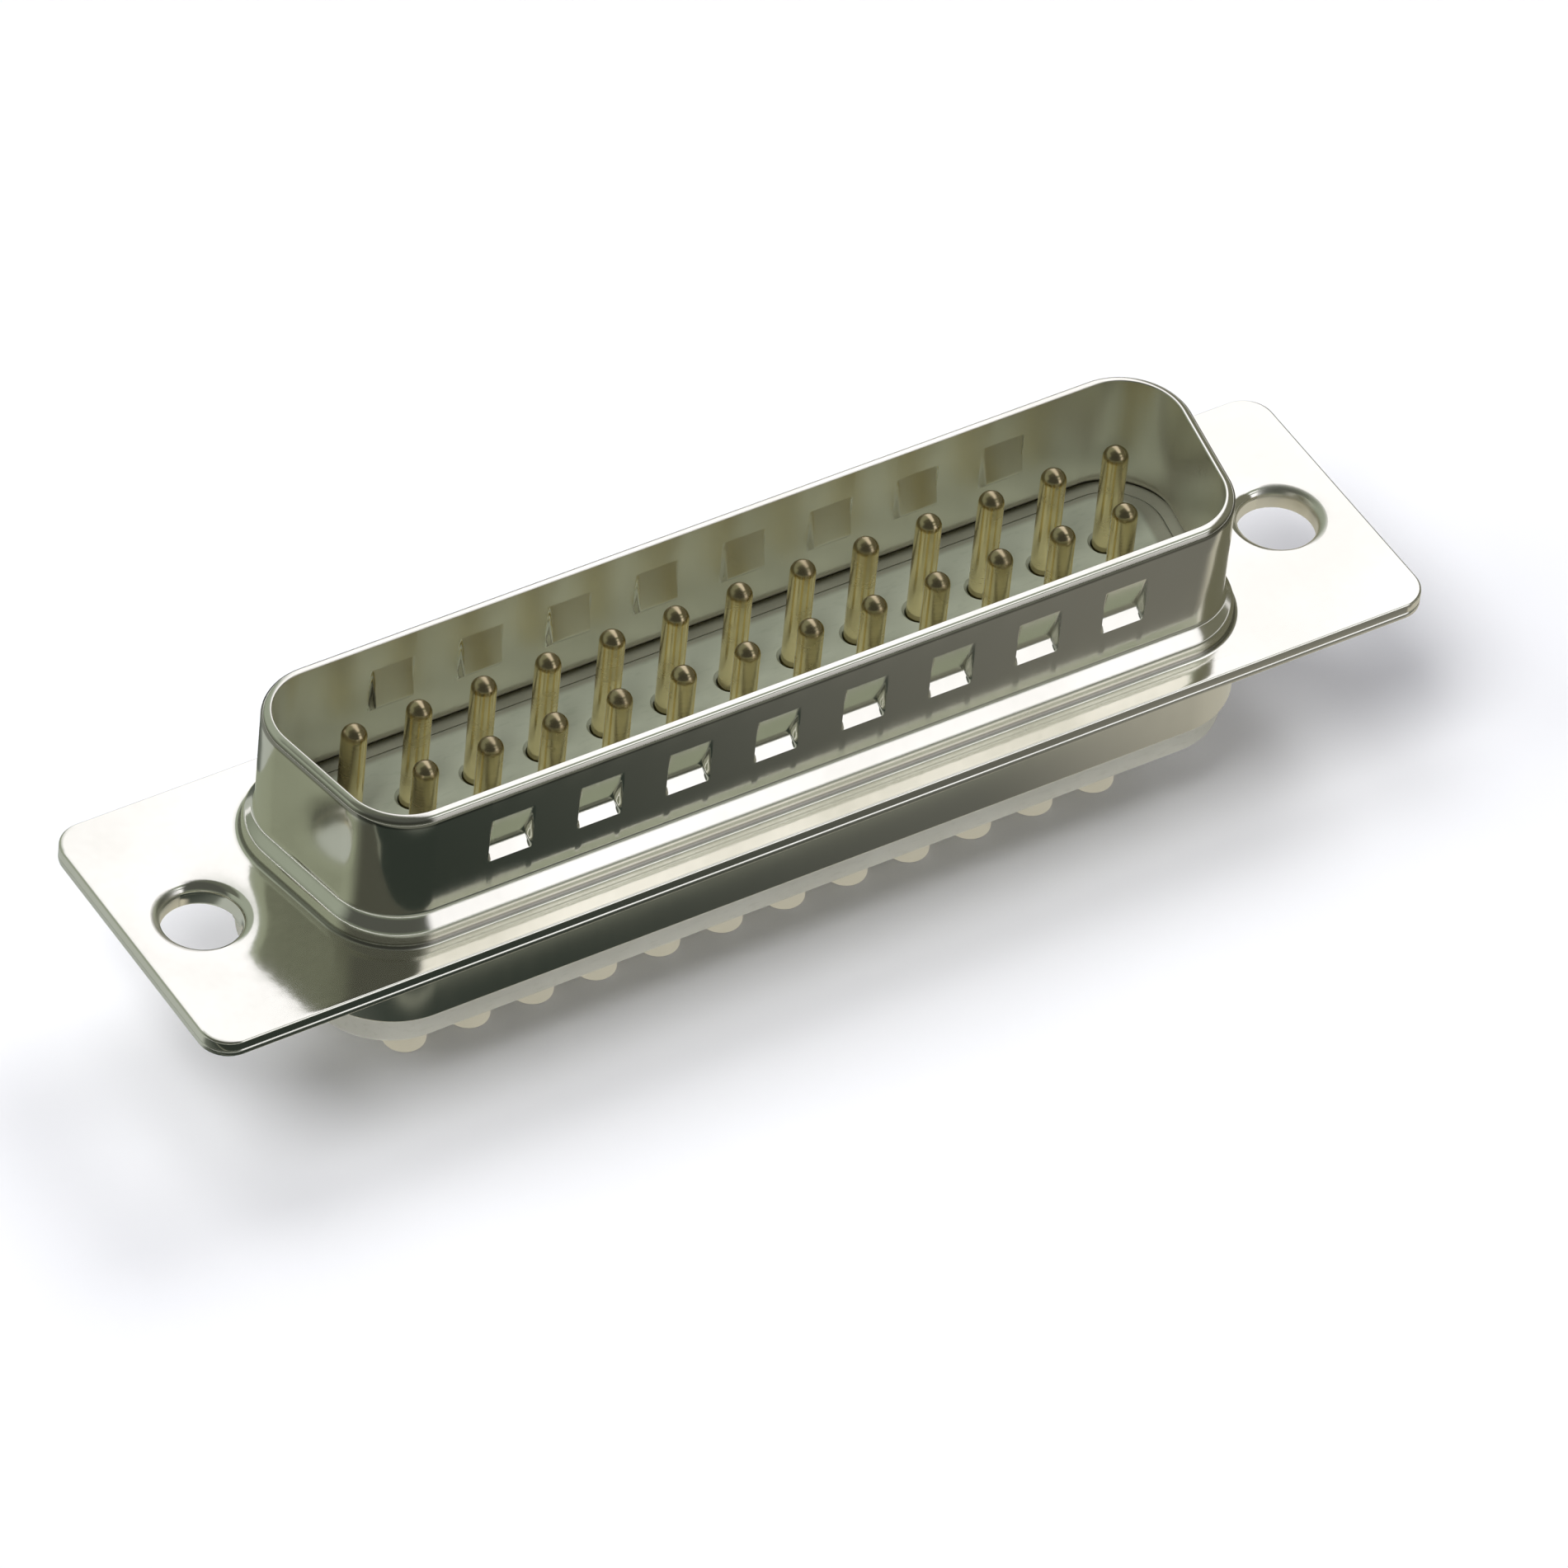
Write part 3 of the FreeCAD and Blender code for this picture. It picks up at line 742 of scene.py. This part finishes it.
# %% Insulators
FACE_Z, BLOCK_DEPTH, BLOCK_FLARE, BLOCK_EDGE_R, FACE_EDGE_R, FRONT_FIT = 0.5, 5.0, 0.25, 0.2, 0.15, 0.18
PIN_D, PIN_FIT, BARREL_FIT, HOLE_LEAD = 1.0, 0.05, 0.05, 0.12
CONTACT_COLLAR_D, CONTACT_COLLAR_THICK, BARREL_D = 2.1, 1.0, 1.7
PIN_STEPS = 32


def contact_places():
    """The X and Y of every contact's axis."""
    return [((i - (count - 1) / 2) * PITCH, side * ROW_GAP / 2)
            for count, side in ((WIDE_ROW_COUNT, 1), (NARROW_ROW_COUNT, -1)) for i in range(count)]


def pierced_block(name, plastic, outline_rows, hole_rows):
    """A D block whose outline follows some rows, pierced at every contact along other rows."""
    block = Skin()
    first, last = block.strip(smooth_d, outline_rows, D_CORNER_R)
    holes = [block.strip(ring(x, y, PIN_STEPS), hole_rows) for x, y in contact_places()]
    block.cap(first, *[top for top, _ in holes])
    block.cap(last, *[bottom for _, bottom in holes])
    piece = keep_flats(block.piece(name))
    piece.data.materials.append(plastic)
    return piece


foot_side = FOOT_STEP - SEAT_FIT
foot_shoulder = FOOT_SHOULDER_Z - slope_drop(FRONT_SHEET + SEAT_FIT)
pin_hole_r = PIN_D / 2 + PIN_FIT
front_insulator = pierced_block("front_insulator_block", front_plastic, section([
    (-FRONT_FIT - FACE_EDGE_R * 2, FACE_Z, 0), (-FRONT_FIT, FACE_Z, FACE_EDGE_R),
    (-FRONT_FIT, foot_shoulder, 0), (foot_side, foot_shoulder, 0), (foot_side, JOINT_Z, 0)]),
    [(pin_hole_r + HOLE_LEAD, FACE_Z), (pin_hole_r, FACE_Z - HOLE_LEAD), (pin_hole_r, JOINT_Z)])
block_side = (SKIRT_WIDTH - D_WIDTH) / 2 - REAR_SHEET - SEAT_FIT
pocket_r, barrel_hole_r = CONTACT_COLLAR_D / 2 + BARREL_FIT, BARREL_D / 2 + BARREL_FIT
pocket_z = JOINT_Z - CONTACT_COLLAR_THICK
rear_insulator = pierced_block("rear_insulator_block", rear_plastic, section([
    (block_side + BLOCK_FLARE, JOINT_Z, 0), (block_side, JOINT_Z - BLOCK_FLARE, 0),
    (block_side, -BLOCK_DEPTH, BLOCK_EDGE_R), (block_side - BLOCK_EDGE_R * 2, -BLOCK_DEPTH, 0)]),
    [(pocket_r, JOINT_Z), (pocket_r, pocket_z), (barrel_hole_r, pocket_z), (barrel_hole_r, -BLOCK_DEPTH)])

# %% [markdown]
# A contact is turned: a round-nosed pin, a collar that the insulators trap, and a crimp barrel
# with a sight hole that shows whether the wire is home. One is made as a turned strip, its
# sight hole is drilled by a boolean cut, and geometry nodes set it out in two rows. The second
# row faces the other way.

# %% One contact
PIN_TIP_Z, PIN_TIP_R = 5.35, 0.45
BARREL_BORE_D, BARREL_BORE_DEPTH, BARREL_LIP_R = 1.12, 4.4, 0.1
SIGHT_HOLE_D, SIGHT_HOLE_UP = 0.5, 3.4


def turned_contact():
    """A contact on the Z axis, before its sight hole is drilled."""
    pin_r, collar_r, barrel_r, bore_r = PIN_D / 2, CONTACT_COLLAR_D / 2, BARREL_D / 2, BARREL_BORE_D / 2
    bore_end = BARREL_END_Z + BARREL_BORE_DEPTH
    rows = section([(0, PIN_TIP_Z, 0), (pin_r, PIN_TIP_Z, PIN_TIP_R), (pin_r, JOINT_Z, 0),
                    (collar_r, JOINT_Z, 0), (collar_r, pocket_z, 0), (barrel_r, pocket_z, 0),
                    (barrel_r, BARREL_END_Z, BARREL_LIP_R), (bore_r, BARREL_END_Z, 0),
                    (bore_r, bore_end, 0), (0, bore_end, 0)])
    turned = Skin()
    turned.strip(ring(0, 0, PIN_STEPS), rows)
    return turned.piece("turned_contact")


def sight_drill(steps=20):
    """The round bit that drills the sight hole outward from the barrel's axis."""
    z, r = BARREL_END_Z + SIGHT_HOLE_UP, SIGHT_HOLE_D / 2
    drill = Skin()
    for y in (0, BARREL_D):
        drill.points.extend(Vector((r * dx, y, z + r * dy)) for _, _, dx, dy in ring(0, 0, steps))
    drill.faces += [tuple(range(steps)), tuple(range(steps, 2 * steps))]
    drill.faces += [(i, (i + 1) % steps, steps + (i + 1) % steps, steps + i) for i in range(steps)]
    return drill.piece("sight_drill")


contact, drill = turned_contact(), sight_drill()
cut = contact.modifiers.new("sight hole", "BOOLEAN")
cut.object, cut.operation, cut.solver = drill, "DIFFERENCE", "EXACT"
bpy.context.view_layer.update()
drilled = bpy.data.meshes.new_from_object(contact.evaluated_get(bpy.context.evaluated_depsgraph_get()))
contact.modifiers.remove(cut)
contact.data = drilled
bpy.data.objects.remove(drill)
print("Drilled contact:", len(drilled.polygons), "faces")

# %% Two rows of contacts
def rows_recipe(metal):
    """Sets the contact out in two rows that face away from each other."""
    whole, number = "NodeSocketInt", "NodeSocketFloat"
    tree, (single, wide, narrow, pitch, gap) = recipe("contact rows", {
        "Wide Row Count": whole, "Narrow Row Count": whole, "Pitch": number, "Row Gap": number})
    f = Flow(tree)
    both = []
    for count, side, turn in ((wide, 1, 0.0), (narrow, -1, math.pi)):
        start = f.node("ShaderNodeCombineXYZ", inputs={"X": (count - 1) * pitch * -0.5,
                                                       "Y": gap * (side / 2)})
        step = f.node("ShaderNodeCombineXYZ", inputs={"X": pitch})
        line = f.node("GeometryNodeMeshLine", inputs={"Count": count, "Start Location": start,
                                                      "Offset": step})
        row = f.node("GeometryNodeInstanceOnPoints", inputs={"Points": line, "Instance": single})
        row.socket.node.inputs["Rotation"].default_value = (0, 0, turn)
        both.append(row)
    joined = f.node("GeometryNodeJoinGeometry")
    for row in reversed(both):
        tree.links.new(row.socket, joined.socket.node.inputs[0])
    serve(tree, joined, metal)
    return tree


contact_mesh = bake(contact, rows_recipe(contact_gold), {
    "Wide Row Count": WIDE_ROW_COUNT, "Narrow Row Count": NARROW_ROW_COUNT, "Pitch": PITCH * MM,
    "Row Gap": ROW_GAP * MM}, "contact_rows")
bpy.data.objects.remove(contact)
contact_mesh.shade_smooth()
contact_mesh.set_sharp_from_angle(angle=SHARP_FROM)
contacts = keep_flats(bpy.data.objects.new("contact_rows", contact_mesh))
bpy.context.scene.collection.objects.link(contacts)
print("Contacts:", WIDE_ROW_COUNT + NARROW_ROW_COUNT, "in", len(contact_mesh.polygons), "faces")

# %% [markdown]
# Every new piece now takes the place of its CAD node, which is hidden, and rides on the one body. The plug
# has no moving part, so nothing bends or follows a joint.

# %% Pieces take their nodes' places
contact_nodes = ["contact_%02d" % n for n in range(1, WIDE_ROW_COUNT + NARROW_ROW_COUNT + 1)]
for piece, nodes, slot in ((front_shell, ["front_shell"], "front_shell"),
                           (rear_shell, ["rear_shell"], "rear_shell"),
                           (front_insulator, ["front_insulator"], "insulator"),
                           (rear_insulator, ["rear_insulator"], "insulator"),
                           (contacts, contact_nodes, "contact")):
    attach(piece, "root")
    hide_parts(*nodes)
    print(piece.name, "stands for", len(nodes), "node" + "s" * (len(nodes) > 1))

# %% [markdown]
# The plug stands on a plain pale floor. The floor glows very slightly for the camera and
# through gaps, so that its open part is just white while it still holds the plug's shadow.

# %% Floor
FLOOR_HALF, FLOOR_LIFT, FLOOR_PALE, BLUISH = 4000, 0.03, 0.935, 1.06


def sheet_object(name, half, z):
    """A flat square facing up, in millimetres."""
    mesh = bpy.data.meshes.new(name)
    mesh.from_pydata([Vector((x * half, y * half, z)) * MM
                      for x, y in ((-1, -1), (1, -1), (1, 1), (-1, 1))], [], [(0, 1, 2, 3)])
    obj = bpy.data.objects.new(name, mesh)
    bpy.context.scene.collection.objects.link(obj)
    return obj


def seen_by(flow, *kinds):
    """1 for rays of those kinds, 0 for others."""
    rays = flow.node("ShaderNodeLightPath").socket.node.outputs
    chosen = [Flow(flow.tree, rays["Is " + kind + " Ray"]) for kind in kinds]
    seen = chosen[0]
    for other in chosen[1:]:
        seen = flow.maths("MAXIMUM", seen, other)
    return seen


floor = sheet_object("floor", FLOOR_HALF, BARREL_END_Z)
floor_paint, flow = material("floor_paint")
lift = seen_by(flow, "Camera", "Transmission") * FLOOR_LIFT
lift = flow.node("ShaderNodeCombineColor", inputs={0: lift, 1: lift, 2: lift * BLUISH})
surface(flow, {"Base Color": (0.93, FLOOR_PALE, 0.95, 1), "Roughness": 0.9, "Specular IOR Level": 0.0,
               "Emission Strength": 1.0, "Emission Color": lift})
floor.data.materials.append(floor_paint)
print("Floor at", BARREL_END_Z, "mm")

# %% [markdown]
# Bright metal has no look of its own, it shows what lies round it. The walls of the plug
# mirror the table in front of it, so a card just above the floor, which only reflections
# see, is that table: dark in front, paler to the right, at the left back and further out.
# Its zones were found by following the camera's rays off the walls down to the table.

# %% Table for the reflections
CARD_HALF, CARD_LIFT, IN_FRONT_LEFT = 160, 0.03, (0.030, 0.038, 0.032)
table_card = sheet_object("table_card", CARD_HALF, BARREL_END_Z + CARD_LIFT)
table_tone, flow = material("table_tone")
x, y, z = flow.node("ShaderNodeTexCoord", output=3).parts()
x, y = x / MM, y / MM
zones = {
    "right": (x.fade(-12, 26), (0.17, 0.168, 0.15)),
    "left_back": ((-x).fade(6, 32) * y.fade(-14, 8), (0.24, 0.26, 0.23)),
    "far_front": ((-y).fade(22, 32), (0.30, 0.32, 0.28)),
    "line_in_the_skirt": (y.band((-12.2, -11.6), (-11.4, -11.0)), (0.26, 0.27, 0.22)),
    "right_of_the_plug": (x.fade(10, 26) * y.fade(-15, -11), (0.52, 0.50, 0.43)),
    "under_the_plug": (y.band((-8.0, -7.0), (7.0, 8.0)) * (1 - abs(x).fade(20, 23)), (0.55, 0.52, 0.43)),
    "far_right": (x.fade(36, 46), (0.14, 0.14, 0.11)),
    "seen_in_the_left_hole": ((-x).fade(20, 24) * y.fade(-3.0, 0.5), (0.44, 0.47, 0.44)),
}
tone = IN_FRONT_LEFT
for mask, shade in zones.values():
    tone = blend(flow, mask, tone, shade)
glow = flow.node("ShaderNodeEmission", inputs={"Color": tone})
flow.node("ShaderNodeOutputMaterial", inputs={"Surface": glow})
table_card.data.materials.append(table_tone)
for kind in ("camera", "diffuse", "shadow", "transmission"):
    setattr(table_card, "visible_" + kind, False)
print("Table zones seen by reflections only:", ", ".join(zones))

# %% [markdown]
# Above the table the metal mirrors the room. It was read off the photograph's own
# highlights: a left side that is grey at the back and darker overhead and in front, a
# bright panel right of the middle, and a dark olive wall at the far right. The panel has
# gaps, so rays of some slopes meet something grey. Diffuse light from the room is weak and
# even, and the camera sees plain white.

# %% World
AMBIENT, AMBIENT_BLUE = 0.13, 1.2
WHITE, PANEL, PANEL_GAP, OLIVE = (1.0, 1.0, 1.0), (1.22, 1.22, 1.32), (0.30, 0.34, 0.28), (0.17, 0.17, 0.13)
LEFT_PALE, LEFT_HIGH, LEFT_FRONT = (0.34, 0.38, 0.32), (0.125, 0.135, 0.11), (0.085, 0.09, 0.08)
HORIZON_LEFT, HORIZON_RIGHT = (0.23, 0.26, 0.21), (0.20, 0.22, 0.18)
STEEPEST = 0.05
world = bpy.data.worlds.new("room")
bpy.context.scene.world = world
world.use_nodes = True
world.node_tree.nodes.clear()
flow = Flow(world.node_tree)
dx, dy, dz = flow.node("ShaderNodeTexCoord", output=0).parts()
left = blend(flow, dz.fade(0.68, 0.73) * (1 - dy.fade(0.42, 0.55)), LEFT_PALE, LEFT_HIGH)
left = blend(flow, 1 - dy.fade(-0.1, 0.25), left, LEFT_FRONT)
left = blend(flow, dz.fade(0.0, 0.40), HORIZON_LEFT, left)
slope = -dy / dz.at_least(STEEPEST)
gaps = slope.band((0.08, 0.16), (0.50, 0.56)) + slope.band((0.81, 0.86), (1.15, 1.30))
panel = blend(flow, gaps, PANEL, PANEL_GAP)
over_horizon = dz + dy.fade(0.0, 0.3) * 0.2 + (-dy).fade(0.62, 0.75) * 0.2
panel = blend(flow, over_horizon.fade(0.14, 0.34), HORIZON_RIGHT, panel)
mirrored = blend(flow, dx.fade(0.2, 0.38), left, panel)
mirrored = blend(flow, dx.fade(0.56, 0.64), mirrored, OLIVE)
colour = blend(flow, seen_by(flow, "Glossy", "Transmission"), (AMBIENT, AMBIENT, AMBIENT * AMBIENT_BLUE),
               mirrored)
colour = blend(flow, seen_by(flow, "Camera"), colour, WHITE)
sky = flow.node("ShaderNodeBackground", inputs={"Color": colour})
flow.node("ShaderNodeOutputWorld", inputs={"Surface": sky})
print("World set, ambient", AMBIENT)

# %% [markdown]
# The photograph's shadow is soft and lies to the right and the front, but it is nearly as
# dark under the left wing. One lamp can't draw that. Four soft lamps can: the key light from the
# left and front, a weaker one over the plug, one low on the left and one from the right and
# the back. Each has its share of the floor's light, so that the open floor is just white.

# %% Lamps
LAMPS = (("key", (-0.6, -0.25), 0.46), ("over", (-0.2, 0.3), 0.14), ("low_left", (-1.2, 0.3), 0.10),
         ("right_back", (0.6, 0.3), 0.17))
LAMP_SPREAD = math.radians(26)
for name, lean, share in LAMPS:
    towards = Vector((*lean, 1.0))
    data = bpy.data.lights.new(name, "SUN")
    data.energy, data.angle = share * math.pi * towards.length / FLOOR_PALE, LAMP_SPREAD
    lamp = bpy.data.objects.new(name, data)
    lamp.rotation_mode = "QUATERNION"
    lamp.rotation_quaternion = towards.to_track_quat("Z", "Y")
    lamp.visible_glossy = False
    bpy.context.scene.collection.objects.link(lamp)
    print("Lamp", name, "strength", round(data.energy, 2))

# %% [markdown]
# The camera stands where the photographer stood: well back, with a long lens, above the
# plug's left front corner. Its numbers come from fitting the pin tips, the two mounting
# holes and the flange's edges of the photograph to the plug's real sizes.

# %% Camera
IMAGE_SIZE = 1901
AZIMUTH, ELEVATION, ROLL = (math.radians(v) for v in (-35.604, 44.352, 6.147))
DISTANCE, FOCAL_PIXELS, AIM_RIGHT, AIM_UP = 548.348, 17823.18, 1.284, -2.644
back = Vector((math.sin(AZIMUTH) * math.cos(ELEVATION), -math.cos(AZIMUTH) * math.cos(ELEVATION),
               math.sin(ELEVATION)))
level = Vector((0, 0, 1)).cross(back).normalized()
right = level * math.cos(ROLL) + back.cross(level) * math.sin(ROLL)
up = back.cross(right)
camera_data = bpy.data.cameras.new("camera")
camera_data.sensor_width = 36
camera_data.lens = camera_data.sensor_width * FOCAL_PIXELS / IMAGE_SIZE
camera_data.clip_start, camera_data.clip_end = 0.01, 20
camera = bpy.data.objects.new("camera", camera_data)
turn = Matrix((right, up, back)).transposed()
place = (right * AIM_RIGHT + up * AIM_UP + back * DISTANCE) * MM
camera.matrix_world = Matrix.Translation(place) @ turn.to_4x4()
bpy.context.scene.collection.objects.link(camera)
bpy.context.scene.camera = camera
bpy.context.scene.view_settings.view_transform = "Standard"
print("Lens", round(camera_data.lens, 1), "mm at", [round(v, 4) for v in place], "m")
